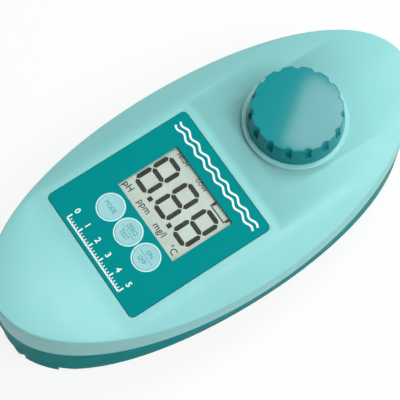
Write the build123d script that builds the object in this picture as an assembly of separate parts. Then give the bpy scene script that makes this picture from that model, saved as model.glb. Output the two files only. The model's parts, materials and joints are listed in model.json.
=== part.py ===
from build123d import *
import math
import os

os.makedirs("parts", exist_ok=True)

# Battery powered pool water tester. X runs from the tail to the sample chamber,
# Z points up, and the origin is on the table under the middle of the body.

# Body outline and heights
body_length = 180.0
body_width = 86.8
side_wall = 3.0
skin = 2.6
foot_height = 3.5
side_low_z = 17.3
parting_z = 23.7
side_top_z = 33.2
crown_rise = 11.6
keel_drop = 18.7
crease_round = 0.9

# Feet at both ends
foot_inner_y = 9.0
foot_outer_y = 20.0
foot_length = 10.0

# Display recess in the crown
recess_depth = 5.7
recess_boss_gap = 0.9
recess_front_run = 6.2
recess_front_cove = 4.0
recess_rear_run = 9.5
recess_rear_cove = 12.0
plate_thickness = 2.4

# Label film, window and keys
label_length = 61.7
label_front_margin = 3.1
label_rear_margin = 6.2
label_side_margin = 2.55
label_thickness = 0.3
label_corner = 2.0
window_front_margin = 10.6
window_centre_y = -0.4
window_length = 26.6
window_width = 36.4
window_corner = 0.3
pane_border = 1.2
pane_thickness = 1.2
fit_gap = 0.1
key_window_gap = 7.2
key_middle_y = -0.2
key_pitch = 11.7
key_radius = 5.0
key_slip = 0.1
key_proud = 0.25
key_flange_radius = 6.2
key_flange_side = 5.6
key_flange_thickness = 0.6
key_sleeve_wall = 1.1
key_sleeve_drop = 0.9
key_seal_tube = 0.52
key_seal_slip = 0.03
key_groove_height = 1.2
key_groove_drop = 1.7
bezel_width = 0.5
bezel_height = 0.4

# Display glass and its frame
glass_thickness = 1.1
glass_gap = 0.2
glass_ledge = 0.7
glass_ledge_y = 2.3
frame_lip = 1.2
strip_width = 2.0
strip_inset = 0.4

# Circuit board
board_top_drop = 6.9
board_thickness = 1.6
board_tail_margin = 30.0
board_chamber_gap = 3.7
board_half_width = 24.0
board_corner = 4.0
board_post_inset = 4.5
board_post_y = 19.5
board_post_radius = 2.8
board_screw_radius = 1.1
board_screw_grip = 3.3
board_screw_head_radius = 2.1
board_screw_head = 1.3
board_screw_slot_width = 0.5
board_screw_slot_depth = 0.5
screw_slip = 0.05
switch_side = 6.2
switch_height = 1.5
switch_knob_radius = 1.7
switch_knob_height = 0.6
main_chip = (12.0, 12.0, 1.6)
driver_chip = (8.0, 3.6, 1.4)
amplifier_chip = (6.0, 5.0, 1.8)
crystal_case = (7.0, 5.0, 2.2)
amplifier_y = 7.5
driver_y = 8.0
chip_spacing = 16.0

# Sample chamber and its screw cap
chamber_x = 40.3
boss_radius = 20.2
boss_rise = 1.86
boss_round = 0.5
cup_radius = 11.5
cup_wall = 3.4
cup_floor = 2.6
cup_depth = 27.8
neck_radius = 13.0
collar_radius = 13.8
bore_slip = 0.1
neck_rise = 7.1
flange_radius = 17.6
flange_thickness = 2.6
flange_drop = 7.8
ear_reach = 20.5
ear_radius = 3.4
ear_count = 3
ring_wall = 4.2
chamber_seal_radius = 15.6
chamber_seal_tube = 0.9
chamber_screw_radius = 1.3
chamber_screw_grip = 4.0
chamber_screw_head_radius = 2.5
chamber_screw_head = 1.6
thread_lead = 6.0
thread_turns = 0.8
thread_depth = 0.8
thread_root_width = 1.3
thread_crest_width = 0.6
thread_root_sink = 0.3
thread_slip = 0.3
thread_starts = 2
cap_base_radius = 18.4
cap_top_radius = 17.05
cap_height = 9.7
cap_dome = 0.6
cap_gap = 0.1
cap_liner_thickness = 1.2
cap_liner_gap = 0.05
flute_count = 15
flute_radius = 1.7
flute_phase = 14.0
flute_base_height = 3.9

# Light path across the chamber
beam_height = 4.2
flat_reach = 14.0
window_radius = 3.6
window_thickness = 1.0
beam_radius = 2.6
holder_side = 11.0
holder_half_height = 4.2
holder_length = 8.0
emitter_radius = 2.5
emitter_length = 5.2
emitter_rim = 0.5
holder_screw_radius = 0.8
holder_screw_x = 4.2
holder_screw_z = 2.7
holder_screw_grip = 1.6
holder_screw_head_radius = 1.4
holder_screw_head = 0.9
filter_thickness = 1.0
lead_radius = 0.25
lead_length = 2.0

# Battery bay, cover and cells
bay_tail_margin = 15.0
bay_end_play = 2.0
bay_side_gap = 1.55
bay_corner = 2.5
bay_roof = 1.8
cover_end_reach = 8.75
cover_side_reach = 3.0
cover_thickness = 2.4
cover_corner = 5.0
cover_gap = 0.15
cover_margin = 1.75
tab_half_width = 8.6
tab_end_inset = 0.4
tab_thickness = 1.2
tab_corner = 2.5
cover_seal_inset = 1.0
cover_seal_width = 1.2
cover_seal_depth = 1.2
cover_screw_reach = 5.35
cover_screw_y = 14.0
cover_screw_radius = 1.0
cover_screw_grip = 5.0
cover_screw_head_radius = 2.0
cover_screw_head = 1.1
cell_count = 3
cell_gap = 0.7
cell_radius = 5.25
cell_length = 44.5
cell_nub_radius = 1.9
cell_nub = 0.8
cell_cover_gap = 1.25
contact_thickness = 0.4
contact_side = 8.4
spring_wire = 0.35
spring_radius = 2.8
spring_turns = 3.0
cradle_roof = 3.55
cradle_slip = 0.15
cradle_end_inset = 1.0

# Shell joint
tail_post_inset = 8.5
front_post_inset = 14.5
front_post_y = 12.0
rear_side_post_x = -46.0
rear_side_post_inset = 6.3
middle_side_post_x = 10.0
middle_side_post_inset = 8.1
shell_seat_z = 13.0
shell_screw_radius = 1.4
shell_screw_top_z = 32.0
shell_screw_head_radius = 2.9
shell_screw_head = 2.0
shell_post_radius = 4.6
counterbore_slip = 0.3
seal_width = 1.2
seal_depth = 1.5
seal_gap = 0.05

# Wires
wire_radius = 0.6
wire_bend = 2.5
wire_bay_inset = 3.0
wire_rise = 3.5
wire_shift = 7.0
wire_draw_in = 2.0
wire_slack = 1.5

# Worked out places
half_length = body_length / 2
half_width = body_width / 2
crown_z = side_top_z + crown_rise
keel_z = side_low_z - keel_drop
inner_floor_z = foot_height + skin
floor_z = crown_z - recess_depth
plate_low_z = floor_z - plate_thickness
label_top_z = floor_z + label_thickness
front_foot_x = chamber_x - boss_radius - recess_boss_gap - recess_front_run
label_front_x = front_foot_x - label_front_margin
label_centre_x = label_front_x - label_length / 2
rear_foot_x = label_front_x - label_length - label_rear_margin
window_centre_x = label_front_x - window_front_margin - window_length / 2
key_x = window_centre_x - window_length / 2 - key_window_gap
key_ys = [key_middle_y + step * key_pitch for step in (1, 0, -1)]
key_bore = key_radius + key_slip
key_top_z = label_top_z + key_proud
sleeve_low_z = plate_low_z - key_sleeve_drop
key_flange_top_z = sleeve_low_z - fit_gap
key_low_z = key_flange_top_z - key_flange_thickness
key_groove_z = floor_z - key_groove_drop
pane_low_z = floor_z - pane_thickness
glass_top_z = pane_low_z - glass_gap
glass_mid_z = glass_top_z - glass_thickness
glass_low_z = glass_mid_z - glass_thickness
glass_length = window_length - 2 * fit_gap
glass_width = window_width - 2 * fit_gap
board_top_z = floor_z - board_top_drop
board_low_z = board_top_z - board_thickness
board_rear_x = -half_length + board_tail_margin
board_front_x = chamber_x - flange_radius - board_chamber_gap
board_post_x = (board_rear_x + board_post_inset, board_front_x - board_post_inset)
boss_top_z = crown_z + boss_rise
flange_top_z = crown_z - flange_drop
flange_low_z = flange_top_z - flange_thickness
neck_top_z = boss_top_z + neck_rise
cup_floor_z = neck_top_z - cup_depth
cup_low_z = cup_floor_z - cup_floor
cup_outer = cup_radius + cup_wall
beam_z = cup_floor_z + beam_height
boss_bore = collar_radius + bore_slip
cap_low_z = boss_top_z + cap_gap
cap_edge_z = cap_low_z + cap_height
cap_ceiling_z = neck_top_z + cap_liner_gap + cap_liner_thickness
cap_inner = collar_radius + thread_slip
thread_low_z = boss_top_z + thread_root_width
cover_top_z = foot_height + cover_thickness
cell_pitch = 2 * cell_radius + cell_gap
cell_centre_z = cover_top_z + cell_cover_gap + cell_radius
bay_top_z = cell_centre_z + cell_radius + cradle_roof
bay_roof_z = bay_top_z + bay_roof
bay_length = cell_length + 2 * bay_end_play
bay_width = (cell_count - 1) * cell_pitch + 2 * cell_radius + 2 * bay_side_gap
cover_length = bay_length + 2 * cover_end_reach
cover_width = bay_width + 2 * cover_side_reach
bay_centre_x = -half_length + bay_tail_margin + cover_length / 2
cell_ys = [(index - (cell_count - 1) / 2) * cell_pitch for index in range(cell_count)]
bay_rear_x = bay_centre_x - bay_length / 2
bay_front_x = bay_centre_x + bay_length / 2
wire_x = bay_front_x - wire_bay_inset
wire_ys = (bay_corner - bay_width / 2, bay_width / 2 - bay_corner)


def disc(radius, low_z, high_z, x=0.0, y=0.0):
    """Upright cylinder between two heights."""
    return Pos(x, y, (low_z + high_z) / 2) * Cylinder(radius, high_z - low_z)


def rod(radius, low_y, high_y, x, z):
    """Cylinder along Y between two places."""
    return Pos(x, (low_y + high_y) / 2, z) * Rot(90, 0, 0) * Cylinder(radius, high_y - low_y)


def block(low, high):
    """Box between two corners."""
    size = [high[axis] - low[axis] for axis in range(3)]
    middle = [(high[axis] + low[axis]) / 2 for axis in range(3)]
    return Pos(*middle) * Box(*size)


def slab(length, width, corner, low_z, high_z, x=0.0, y=0.0):
    """Plate with rounded corners between two heights."""
    outline = Pos(x, y, low_z) * RectangleRounded(length, width, corner)
    return extrude(outline, high_z - low_z)


def wall_y(x):
    """Half of the body's width at a place along it."""
    return half_width * math.sqrt(1 - (x / half_length) ** 2)


def oval(inset, low_z, high_z):
    """Elliptical column, the plan of the body moved inwards by an inset."""
    outline = Pos(0, 0, low_z) * Ellipse(half_length - inset, half_width - inset)
    return extrude(outline, high_z - low_z)


def arch_radius(rise):
    """Radius of an arch that spans the body's width with a given rise."""
    return (half_width**2 + rise**2) / (2 * rise)


def arches(inset):
    """Space between the crown's arch and the underside's arch."""
    crown_radius = arch_radius(crown_rise)
    keel_radius = arch_radius(keel_drop)
    along = Rot(0, 90, 0)
    crown = Pos(0, 0, crown_z - crown_radius) * along * Cylinder(crown_radius - inset, 2 * body_length)
    keel = Pos(0, 0, keel_z + keel_radius) * along * Cylinder(keel_radius - inset, 2 * body_length)
    return crown & keel


def outer_form():
    """Outside of the closed body, with its upper crease rounded."""
    form = oval(0, foot_height, crown_z + 1) & arches(0)
    top_edges = form.edges().filter_by(lambda e: e.center().Z > side_top_z)
    return fillet(top_edges, crease_round)


def inner_form():
    """Hollow of the closed body."""
    return oval(side_wall, inner_floor_z, crown_z + 1) & arches(skin)


def recess_tool(grow):
    """Space of the display recess, or of its outside when grown by the plate.

    A flat floor with a sloped wall at each end, carried across the body, so
    that the arch of the crown gives the ends their curved rims.
    """
    rise = 2 * recess_depth
    front_top_x = front_foot_x + 2 * recess_front_run
    rear_top_x = rear_foot_x - 2 * recess_rear_run
    outline = Polyline(
        (rear_top_x, floor_z + rise),
        (rear_foot_x, floor_z),
        (front_foot_x, floor_z),
        (front_top_x, floor_z + rise),
        close=True,
    )
    section = make_face(outline)
    feet_of_walls = section.vertices().sort_by(Axis.Y)[0:2].sort_by(Axis.X)
    section = fillet(feet_of_walls[0], recess_rear_cove)
    front_foot = section.vertices().sort_by(lambda v: abs(v.Y - floor_z) + abs(v.X - front_foot_x))[0]
    section = fillet(front_foot, recess_front_cove)
    if grow:
        section = offset(section, amount=grow)
    return extrude(Plane.XZ * section, body_width, both=True)


def ring(outer, inner, low_z, high_z, x=0.0, y=0.0):
    """Flat ring between two heights."""
    return disc(outer, low_z, high_z, x, y) - disc(inner, low_z - 1, high_z + 1, x, y)


def label_width():
    """Width of the recess floor, where it meets the arch, less a margin at both sides."""
    radius = arch_radius(crown_rise)
    floor_half_width = math.sqrt(radius**2 - (radius - recess_depth) ** 2)
    return 2 * (floor_half_width - label_side_margin)


def ear_places():
    """Centres of the chamber's fixing ears."""
    angles = [math.radians(360 * index / ear_count) for index in range(ear_count)]
    return [(chamber_x + ear_reach * math.cos(a), ear_reach * math.sin(a)) for a in angles]


def shell_screw_places():
    """Centres of the screws that close the two covers."""
    places = [(-half_length + tail_post_inset, 0.0)]
    for side in (-1, 1):
        places.append((half_length - front_post_inset, side * front_post_y))
        places.append((rear_side_post_x, side * (wall_y(rear_side_post_x) - rear_side_post_inset)))
        places.append((middle_side_post_x, side * (wall_y(middle_side_post_x) - middle_side_post_inset)))
    return places


def cup_seal():
    """Round cord ring under the boss."""
    return Pos(chamber_x, 0, flange_top_z) * Torus(chamber_seal_radius, chamber_seal_tube)


def upper_shell():
    """Top cover with the display recess, the chamber boss and all its posts."""
    skin_of_recess = recess_tool(plate_thickness)
    hollow = inner_form() - skin_of_recess
    shell = outer_form() - recess_tool(0) - hollow
    boss = disc(boss_radius, flange_top_z, boss_top_z, chamber_x)
    boss = fillet(boss.edges().sort_by(Axis.Z)[-1], boss_round)
    boss_low = disc(collar_radius + ring_wall, flange_top_z, crown_z, chamber_x)
    lift = disc(boss_radius + boss_round, crown_z - skin - boss_rise, boss_top_z, chamber_x)
    shell += boss_low + (boss & lift)
    inside = oval(side_wall / 2, parting_z, crown_z) & arches(skin / 2)
    for x, y in ear_places():
        shell += disc(ear_radius, flange_top_z, crown_z, x, y) & inside
    for x, y in shell_screw_places():
        post = disc(shell_post_radius, parting_z, crown_z, x, y) & inside
        shell += post - recess_tool(plate_thickness / 2)
    for x in board_post_x:
        for y in (-board_post_y, board_post_y):
            shell += disc(board_post_radius, board_top_z, plate_low_z + plate_thickness / 2, x, y)
    for y in key_ys:
        shell += disc(key_bore + key_sleeve_wall, sleeve_low_z, floor_z, key_x, y)
    shell = shell & oval(0, parting_z, boss_top_z)
    for y in key_ys:
        shell -= disc(key_bore, sleeve_low_z - 1, floor_z + 1, key_x, y)
    shell -= window_block(plate_low_z - 1, floor_z)
    shell -= pane_block(cover_gap / 2)
    shell -= disc(boss_bore, flange_top_z - 1, boss_top_z + 1, chamber_x)
    shell -= Pos(chamber_x, 0, flange_top_z) * Torus(chamber_seal_radius, chamber_seal_tube + seal_gap)
    for x, y in ear_places():
        hole_top = flange_top_z + chamber_screw_grip + fit_gap
        shell -= disc(chamber_screw_radius + screw_slip, flange_top_z - 1, hole_top, x, y)
    for x, y in shell_screw_places():
        shell -= disc(shell_screw_radius + screw_slip, parting_z - 1, shell_screw_top_z + fit_gap, x, y)
    for x in board_post_x:
        for y in (-board_post_y, board_post_y):
            hole_top = board_top_z + board_screw_grip + fit_gap
            shell -= disc(board_screw_radius + screw_slip, board_top_z - 1, hole_top, x, y)
    return shell


def window_block(low_z, high_z):
    """Display window cut through the label and the recess floor."""
    return slab(window_length, window_width, window_corner, low_z, high_z, window_centre_x, window_centre_y)


def pane_block(grow):
    """Window pane, or its rebate when grown."""
    length = window_length + 2 * (pane_border + grow)
    width = window_width + 2 * (pane_border + grow)
    return slab(length, width, pane_border, pane_low_z, floor_z, window_centre_x, window_centre_y)


def feet():
    """Four short pads whose outer faces follow the body's wall."""
    pads = []
    for side in (-1, 1):
        for end in (-1, 1):
            xs = sorted((end * (half_length - foot_length), end * half_length))
            ys = sorted((side * foot_inner_y, side * foot_outer_y))
            pads.append(block((xs[0], ys[0], 0), (xs[1], ys[1], inner_floor_z)))
    return Compound(children=[pad & oval(0, 0, inner_floor_z) for pad in pads])


def tab_tool(grow):
    """Finger tab of the battery cover, or its notch when grown."""
    front_x = bay_centre_x - cover_length / 2 + cover_corner + 1
    outer_x = -half_length + tab_end_inset - 4 * grow
    low = (outer_x, -tab_half_width - grow, foot_height - 4 * grow)
    tab = block(low, (front_x, tab_half_width + grow, foot_height + tab_thickness + grow))
    corners = tab.edges().filter_by(Axis.Z).sort_by(Axis.X)[0:2]
    return fillet(corners, tab_corner + grow)


def perimeter_ring(width, low_z, high_z):
    """Oval ring along the middle of the side wall."""
    middle = side_wall / 2
    return oval(middle - width / 2, low_z, high_z) - oval(middle + width / 2, low_z - 1, high_z + 1)


def cover_seal_ring(grow, low_z, high_z):
    """Rounded rectangular ring around the battery bay."""
    inner = 2 * (cover_seal_inset - grow)
    outer = 2 * (cover_seal_inset + cover_seal_width + grow)
    big = slab(bay_length + outer, bay_width + outer, bay_corner + outer / 2, low_z, high_z, bay_centre_x)
    small = slab(bay_length + inner, bay_width + inner, bay_corner + inner / 2, low_z - 1, high_z + 1, bay_centre_x)
    return big - small


def cover_screw_places():
    """Centres of the battery cover's screws."""
    reach = bay_length / 2 + cover_screw_reach
    return [(bay_centre_x + sx * reach, sy * cover_screw_y) for sx in (-1, 1) for sy in (-1, 1)]


def lower_shell():
    """Bottom cover with feet, battery bay and screw posts."""
    form = outer_form()
    shell = form - inner_form()
    block_length = cover_length + 2 * cover_margin
    block_width = cover_width + 2 * cover_margin
    bay = slab(block_length, block_width, cover_corner, foot_height, bay_roof_z, bay_centre_x)
    shell += bay & form
    for x, y in shell_screw_places():
        shell += disc(shell_post_radius, foot_height, parting_z, x, y) & form
    for pad in feet().children:
        shell += pad
    shell = shell & oval(0, 0, parting_z)
    recess_length = cover_length + 2 * cover_gap
    recess_width = cover_width + 2 * cover_gap
    shell -= slab(recess_length, recess_width, cover_corner, foot_height - 1, cover_top_z, bay_centre_x)
    shell -= tab_tool(cover_gap)
    shell -= slab(bay_length, bay_width, bay_corner, foot_height, bay_top_z, bay_centre_x)
    shell -= cover_seal_ring(seal_gap, cover_top_z - 1, cover_top_z + cover_seal_depth)
    for x, y in cover_screw_places():
        hole_top = cover_top_z + cover_screw_grip + fit_gap
        shell -= disc(cover_screw_radius + screw_slip, cover_top_z - 1, hole_top, x, y)
    for x, y in shell_screw_places():
        shell -= disc(shell_screw_head_radius + counterbore_slip, foot_height - 1, shell_seat_z, x, y)
        shell -= disc(shell_screw_radius + 2 * screw_slip, shell_seat_z - 1, parting_z + 1, x, y)
    shell -= perimeter_ring(seal_width + 2 * seal_gap, parting_z - seal_depth, parting_z + 1)
    for y in wire_ys:
        shell -= disc(wire_radius + screw_slip, bay_top_z - 1, bay_roof_z + 1, wire_x, y)
    return shell


def perimeter_seal():
    """Soft cord in the groove of the lower rim."""
    return perimeter_ring(seal_width, parting_z - seal_depth + seal_gap, parting_z - seal_gap)


def label_overlay():
    """Printed film on the recess floor, open at the window and the keys."""
    film = slab(label_length, label_width(), label_corner, floor_z, label_top_z, label_centre_x)
    film -= window_block(floor_z - 1, label_top_z + 1)
    for y in key_ys:
        film -= disc(key_bore + bezel_width, floor_z - 1, label_top_z + 1, key_x, y)
    return film


def key_bezels():
    """Thin pale ring around each key."""
    rings = [ring(key_bore + bezel_width, key_bore, floor_z, floor_z + bezel_height, key_x, y) for y in key_ys]
    return Compound(children=rings)


def key(y):
    """Round key with a seal groove and a flange that holds it in."""
    body = disc(key_radius, key_flange_top_z, key_top_z, key_x, y)
    flange = disc(key_flange_radius, key_low_z, key_flange_top_z, key_x, y)
    low = (key_x - key_flange_radius, y - key_flange_side, key_low_z)
    sides = block(low, (key_x + key_flange_radius, y + key_flange_side, key_flange_top_z))
    body = fillet(body.edges().sort_by(Axis.Z)[-1], label_thickness) + (flange & sides)
    groove_radius = key_bore - key_seal_slip - 2 * key_seal_tube - key_seal_slip
    half = key_groove_height / 2
    return body - ring(key_radius + 1, groove_radius, key_groove_z - half, key_groove_z + half, key_x, y)


def key_seal(y):
    """Round cord ring in a key's groove."""
    return Pos(key_x, y, key_groove_z) * Torus(key_bore - key_seal_slip - key_seal_tube, key_seal_tube)


def glass():
    """Display cell made of two glass plates."""
    upper = block(
        (window_centre_x - glass_length / 2, window_centre_y - glass_width / 2, glass_mid_z),
        (window_centre_x + glass_length / 2, window_centre_y + glass_width / 2, glass_top_z),
    )
    half_x = glass_length / 2 + glass_ledge
    half_y = glass_width / 2 + glass_ledge_y
    lower = block(
        (window_centre_x - half_x, window_centre_y - half_y, glass_low_z),
        (window_centre_x + half_x, window_centre_y + half_y, glass_mid_z),
    )
    return upper + lower


def strip_box(side, grow):
    """Conducting strip at one edge of the glass, or its slot when grown."""
    x = window_centre_x + side * (glass_length / 2 + glass_ledge - strip_inset - strip_width / 2)
    half_y = glass_width / 2 + grow
    low = (x - strip_width / 2 - grow, window_centre_y - half_y, board_top_z)
    return block(low, (x + strip_width / 2 + grow, window_centre_y + half_y, glass_low_z))


def display_frame():
    """Frame that holds the glass and the strips over the board."""
    half_x = glass_length / 2 + glass_ledge
    half_y = glass_width / 2 + glass_ledge_y + fit_gap
    outer_y = half_y + frame_lip
    frame = block(
        (window_centre_x - half_x, window_centre_y - outer_y, board_top_z),
        (window_centre_x + half_x, window_centre_y + outer_y, glass_mid_z),
    )
    frame -= block(
        (window_centre_x - half_x - 1, window_centre_y - half_y, glass_low_z),
        (window_centre_x + half_x + 1, window_centre_y + half_y, glass_mid_z + 1),
    )
    clear_x = half_x - 2 * strip_inset - strip_width - frame_lip
    frame -= block(
        (window_centre_x - clear_x, window_centre_y - glass_width / 2, board_top_z - 1),
        (window_centre_x + clear_x, window_centre_y + glass_width / 2, glass_mid_z),
    )
    for side in (-1, 1):
        frame -= strip_box(side, seal_gap)
    return frame


def circuit_board():
    """Main board under the recess."""
    length = board_front_x - board_rear_x
    middle = (board_front_x + board_rear_x) / 2
    board = slab(length, 2 * board_half_width, board_corner, board_low_z, board_top_z, middle)
    for x in board_post_x:
        for y in (-board_post_y, board_post_y):
            board -= disc(board_screw_radius + 2 * screw_slip, board_low_z - 1, board_top_z + 1, x, y)
    return board


def board_screws():
    """Screws that hold the board to the top cover."""
    screws = []
    for x in board_post_x:
        for y in (-board_post_y, board_post_y):
            shank = disc(board_screw_radius, board_low_z, board_top_z + board_screw_grip, x, y)
            head = disc(board_screw_head_radius, board_low_z - board_screw_head, board_low_z, x, y)
            half = board_screw_slot_width / 2
            reach = board_screw_head_radius + 1
            slot_z = board_low_z - board_screw_head
            slot = block((x - reach, y - half, slot_z - 1), (x + reach, y + half, slot_z + board_screw_slot_depth))
            screws.append(shank + head - slot)
    return Compound(children=screws)


def key_switches():
    """Snap switches on the board, one under each key."""
    switches = []
    for y in key_ys:
        half = switch_side / 2
        body = block((key_x - half, y - half, board_top_z), (key_x + half, y + half, board_top_z + switch_height))
        knob_top = board_top_z + switch_height + switch_knob_height
        switches.append(body + disc(switch_knob_radius, board_top_z, knob_top, key_x, y))
    return Compound(children=switches)


def board_components():
    """Chips soldered to the underside of the board."""
    front_chip_x = board_front_x - chip_spacing
    places = [(window_centre_x, window_centre_y, main_chip), (board_rear_x + chip_spacing, 0, crystal_case)]
    for side in (-1, 1):
        places.append((window_centre_x - chip_spacing, side * driver_y, driver_chip))
        places.append((front_chip_x, side * amplifier_y, amplifier_chip))
    chips = []
    for x, y, (length, width, height) in places:
        low = (x - length / 2, y - width / 2, board_low_z - height)
        chips.append(block(low, (x + length / 2, y + width / 2, board_low_z)))
    return Compound(children=chips)


def thread_ridge(root_radius, crest_radius, low_z):
    """One start of the coarse thread: a tapered section carried along a helix."""
    height = thread_lead * thread_turns
    path = Helix(pitch=thread_lead, height=height, radius=root_radius, center=(0, 0, low_z))
    outward = 1 if crest_radius > root_radius else -1
    sunk = root_radius - outward * thread_root_sink
    outline = Polyline(
        (sunk, 0, low_z - thread_root_width / 2),
        (crest_radius, 0, low_z - thread_crest_width / 2),
        (crest_radius, 0, low_z + thread_crest_width / 2),
        (sunk, 0, low_z + thread_root_width / 2),
        close=True,
    )
    return sweep(make_face(outline), path=path, is_frenet=True)


def thread(root_radius, crest_radius, low_z, phase):
    """All starts of the thread about the chamber's axis."""
    ridge = thread_ridge(root_radius, crest_radius, low_z)
    return [Pos(chamber_x, 0, 0) * Rot(0, 0, phase + 360 * s / thread_starts) * ridge for s in range(thread_starts)]


def sample_chamber():
    """Cup for the water sample with a threaded neck, a flange and two flats."""
    cup = disc(cup_outer, cup_low_z, flange_low_z, chamber_x)
    low = (chamber_x - cup_outer - 1, flat_reach, cup_low_z - 1)
    high = (chamber_x + cup_outer + 1, cup_outer + 1, flange_low_z)
    flat = block(low, high)
    cup -= flat
    cup -= mirror(flat, Plane.XZ)
    cup += disc(flange_radius, flange_low_z, flange_top_z, chamber_x)
    for x, y in ear_places():
        cup += disc(ear_radius, flange_low_z, flange_top_z, x, y)
    cup += disc(collar_radius, flange_top_z, boss_top_z, chamber_x)
    cup += disc(neck_radius, boss_top_z, neck_top_z, chamber_x)
    for ridge in thread(neck_radius, neck_radius + thread_depth, thread_low_z, 0):
        cup += ridge
    cup -= disc(cup_radius, cup_floor_z, neck_top_z + 1, chamber_x)
    cup -= rod(beam_radius, -flat_reach - 1, flat_reach + 1, chamber_x, beam_z)
    for side in (-1, 1):
        ys = sorted((side * (flat_reach - window_thickness), side * (flat_reach + 1)))
        cup -= rod(window_radius, ys[0], ys[1], chamber_x, beam_z)
        for x, z in holder_screw_places():
            ys = sorted((side * (flat_reach - holder_screw_grip), side * (flat_reach + 1)))
            cup -= rod(holder_screw_radius, ys[0], ys[1], x, z)
    cup -= Pos(chamber_x, 0, flange_top_z) * Torus(chamber_seal_radius, chamber_seal_tube + seal_gap)
    for x, y in ear_places():
        cup -= disc(chamber_screw_radius + screw_slip, flange_low_z - 1, flange_top_z + 1, x, y)
    return cup


def chamber_screws():
    """Screws through the flange's ears into the top cover."""
    screws = []
    for x, y in ear_places():
        shank = disc(chamber_screw_radius, flange_low_z, flange_top_z + chamber_screw_grip, x, y)
        head = disc(chamber_screw_head_radius, flange_low_z - chamber_screw_head, flange_low_z, x, y)
        screws.append(shank + head)
    return Compound(children=screws)


def optical_windows():
    """Clear discs at both sides of the chamber."""
    discs = []
    for side in (-1, 1):
        ys = sorted((side * (flat_reach - window_thickness), side * flat_reach))
        discs.append(rod(window_radius - seal_gap, ys[0], ys[1], chamber_x, beam_z))
    return Compound(children=discs)


def holder_screw_places():
    """Centres of the two screws of each light holder."""
    return [(chamber_x + s * holder_screw_x, beam_z + s * holder_screw_z) for s in (-1, 1)]


def holder(side):
    """Block on a flat of the chamber, bored for the lamp or the sensor."""
    ys = sorted((side * flat_reach, side * (flat_reach + holder_length)))
    half = holder_side / 2
    low = (chamber_x - half, ys[0], beam_z - holder_half_height)
    body = block(low, (chamber_x + half, ys[1], beam_z + holder_half_height))
    body -= rod(emitter_radius + seal_gap, ys[0] - 1, ys[1] + 1, chamber_x, beam_z)
    for x, z in holder_screw_places():
        body -= rod(holder_screw_radius + screw_slip, ys[0] - 1, ys[1] + 1, x, z)
    return body


def holder_screws():
    """Small screws that hold both blocks to the chamber."""
    screws = []
    for side in (-1, 1):
        outer = flat_reach + holder_length
        for x, z in holder_screw_places():
            ys = sorted((side * (flat_reach - holder_screw_grip), side * outer))
            shank = rod(holder_screw_radius, ys[0], ys[1], x, z)
            ys = sorted((side * outer, side * (outer + holder_screw_head)))
            screws.append(shank + rod(holder_screw_head_radius, ys[0], ys[1], x, z))
    return Compound(children=screws)


def barrel(side, start, length):
    """Round barrel in a holder with two wire legs behind it."""
    ys = sorted((side * start, side * (start + length)))
    body = rod(emitter_radius, ys[0], ys[1], chamber_x, beam_z)
    ys = sorted((side * (start + length), side * (start + length + lead_length)))
    for offset in (-1, 1):
        body += rod(lead_radius, ys[0], ys[1], chamber_x + offset * emitter_radius / 2, beam_z)
    return body


def led_emitter():
    """Lamp on one side of the chamber."""
    return barrel(-1, flat_reach + emitter_rim, emitter_length)


def optical_filter():
    """Coloured disc in front of the sensor."""
    return rod(emitter_radius, flat_reach, flat_reach + filter_thickness, chamber_x, beam_z)


def photodiode():
    """Light sensor behind the filter."""
    return barrel(1, flat_reach + filter_thickness + seal_gap, emitter_length)


def chamber_cap():
    """Fluted screw cap with an internal thread."""
    body = Pos(chamber_x, 0, cap_low_z) * Cone(
        cap_base_radius, cap_top_radius, cap_height, align=(Align.CENTER, Align.CENTER, Align.MIN)
    )
    sphere_radius = (cap_top_radius**2 + cap_dome**2) / (2 * cap_dome)
    ball = Pos(chamber_x, 0, cap_edge_z + cap_dome - sphere_radius) * Sphere(sphere_radius)
    body += ball & disc(cap_top_radius, cap_edge_z - 1, cap_edge_z + cap_dome, chamber_x)
    for index in range(flute_count):
        angle = math.radians(flute_phase + 360 * index / flute_count)
        x = chamber_x + cap_base_radius * math.cos(angle)
        y = cap_base_radius * math.sin(angle)
        body -= disc(flute_radius, cap_low_z + flute_base_height, cap_edge_z + 2, x, y)
    body -= disc(cap_inner, cap_low_z - 1, cap_ceiling_z, chamber_x)
    phase = 360 / thread_starts / 2
    for ridge in thread(cap_inner, cap_inner - thread_depth, thread_low_z, phase):
        body += ridge
    return body


def cap_seal():
    """Soft disc in the cap that closes the neck."""
    return disc(cap_inner - fit_gap, neck_top_z + cap_liner_gap, cap_ceiling_z - cap_liner_gap, chamber_x)


def battery_cover():
    """Cover of the battery bay with a finger tab at the tail."""
    cover = slab(cover_length, cover_width, cover_corner, foot_height, cover_top_z - seal_gap, bay_centre_x)
    cover += tab_tool(0)
    for x, y in cover_screw_places():
        cover -= disc(cover_screw_radius + 2 * screw_slip, foot_height - 1, cover_top_z + 1, x, y)
        cover -= disc(cover_screw_head_radius + screw_slip, foot_height - 1, foot_height + cover_screw_head, x, y)
    return cover


def battery_cover_seal():
    """Soft ring between the cover and the bay."""
    return cover_seal_ring(0, cover_top_z, cover_top_z + cover_seal_depth - seal_gap)


def battery_cover_screws():
    """Four screws of the battery cover."""
    screws = []
    for x, y in cover_screw_places():
        shank = disc(cover_screw_radius, foot_height + cover_screw_head, cover_top_z + cover_screw_grip, x, y)
        head = disc(cover_screw_head_radius, foot_height + seal_gap, foot_height + cover_screw_head, x, y)
        screws.append(shank + head)
    return Compound(children=screws)


def shell_screws():
    """Screws that close the two covers."""
    screws = []
    for x, y in shell_screw_places():
        shank = disc(shell_screw_radius, shell_seat_z, shell_screw_top_z, x, y)
        head = disc(shell_screw_head_radius, shell_seat_z - shell_screw_head, shell_seat_z, x, y)
        screws.append(shank + head)
    return Compound(children=screws)


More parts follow.
